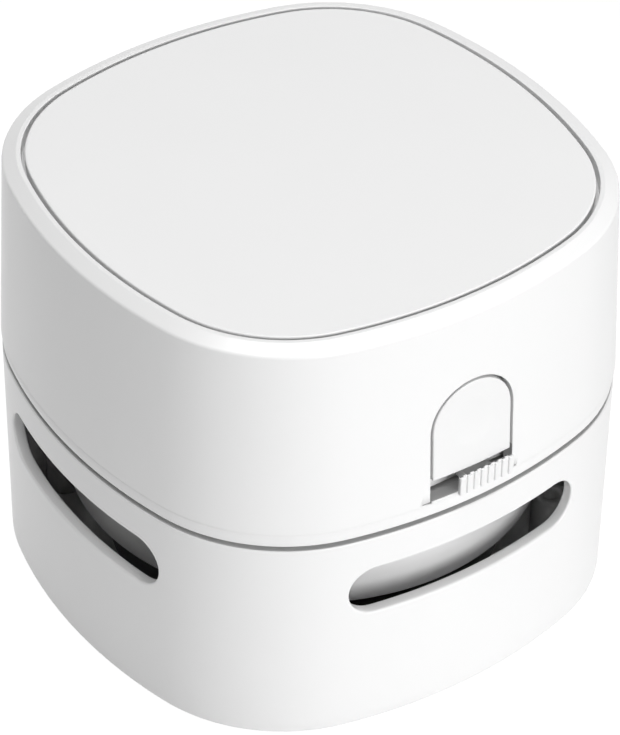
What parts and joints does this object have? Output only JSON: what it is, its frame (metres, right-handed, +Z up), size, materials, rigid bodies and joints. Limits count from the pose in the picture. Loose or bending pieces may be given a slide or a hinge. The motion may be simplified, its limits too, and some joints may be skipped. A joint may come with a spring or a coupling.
{
  "type": "desktop mini vacuum cleaner",
  "caption": "Rounded-square desktop vacuum cleaner with a side exhaust vent in each wall, an arched release button above a ribbed slide switch, and a lift-off battery cover.",
  "frame": {"origin": "on the desk, under the middle of the shell, at the foot of the glides", "axes": "+Z up; -Y is the front, with the button and the switch; +X is to the right seen from the front"},
  "size_m": [0.08, 0.081, 0.066],
  "materials": {
    "housing_white": "satin moulded white",
    "control_white": "satin moulded white, finer grain",
    "base_white": "satin moulded white",
    "collar_gloss": "polished light grey",
    "cup_dark": "fine-grained black",
    "bristle_nylon": "nylon tufts",
    "glide_pad": "soft, matt",
    "screw_steel": "zinc plated",
    "inner_plastic": "unpolished moulding",
    "filter_paper": "pleated paper",
    "seal_rubber": "soft, matt",
    "pad_foam": "closed-cell foam",
    "motor_steel": "drawn steel",
    "cap_plastic": "moulded black",
    "bronze": "sintered bronze",
    "contact_plate": "nickel plated",
    "cell_jacket": "printed sleeve, left plain"
  },
  "bodies": {
    "base": {"lower_shell": "base_white", "base_plate": "cup_dark", "inlet_throat": "cup_dark", "dust_cup": "cup_dark", "filter_collar": "collar_gloss", "brush_bar_front": "cup_dark", "brush_bar_rear": "cup_dark", "bristles_front": "bristle_nylon", "bristles_rear": "bristle_nylon", "glides": "glide_pad", "base_screws": "screw_steel"},
    "housing": {"upper_shell": "housing_white", "motor_deck": "inner_plastic", "battery_tray": "inner_plastic", "motor_can": "motor_steel", "motor_end_cap": "cap_plastic", "motor_terminals": "contact_plate", "motor_bushes": "bronze", "fan_cover": "inner_plastic", "fan_cover_screws": "screw_steel", "cup_seal": "seal_rubber", "filter_frame": "inner_plastic", "filter_medium": "filter_paper", "cell_front": "cell_jacket", "cell_rear": "cell_jacket", "series_contact": "contact_plate", "end_contacts": "contact_plate", "contact_springs": "contact_plate", "switch_body": "motor_steel", "switch_terminals": "contact_plate", "latch_yoke": "inner_plastic", "latch_screws": "screw_steel", "deck_screws": "screw_steel", "tray_screws": "screw_steel", "button_spring": "contact_plate"},
    "cover": {"battery_cover": "housing_white", "cover_pads": "pad_foam"},
    "button": {"release_button": "control_white"},
    "switch": {"switch_knob": "control_white", "switch_lever": "cap_plastic"},
    "fan": {"impeller": "inner_plastic", "motor_shaft": "motor_steel"}
  },
  "joints": [
    {"name": "housing_lift", "type": "slide", "parent": "base", "child": "housing", "axis": [0, 0, 1], "range_m": [0, 0.04], "deforming": ["latch_yoke"]},
    {"name": "cover_lift", "type": "slide", "parent": "housing", "child": "cover", "axis": [0, 0, 1], "range_m": [0, 0.015]},
    {"name": "button_press", "type": "slide", "parent": "housing", "child": "button", "axis": [0, 1, 0], "range_m": [0, 0.0012], "stiffness_N_per_m": 800, "deforming": ["latch_yoke", "button_spring"]},
    {"name": "switch_slide", "type": "slide", "parent": "housing", "child": "switch", "axis": [-1, 0, 0], "range_m": [0, 0.00324]},
    {"name": "fan_spin", "type": "hinge", "parent": "housing", "child": "fan", "pos_m": [0, 0, 0.033], "axis": [0, 0, 1], "continuous": true}
  ]
}
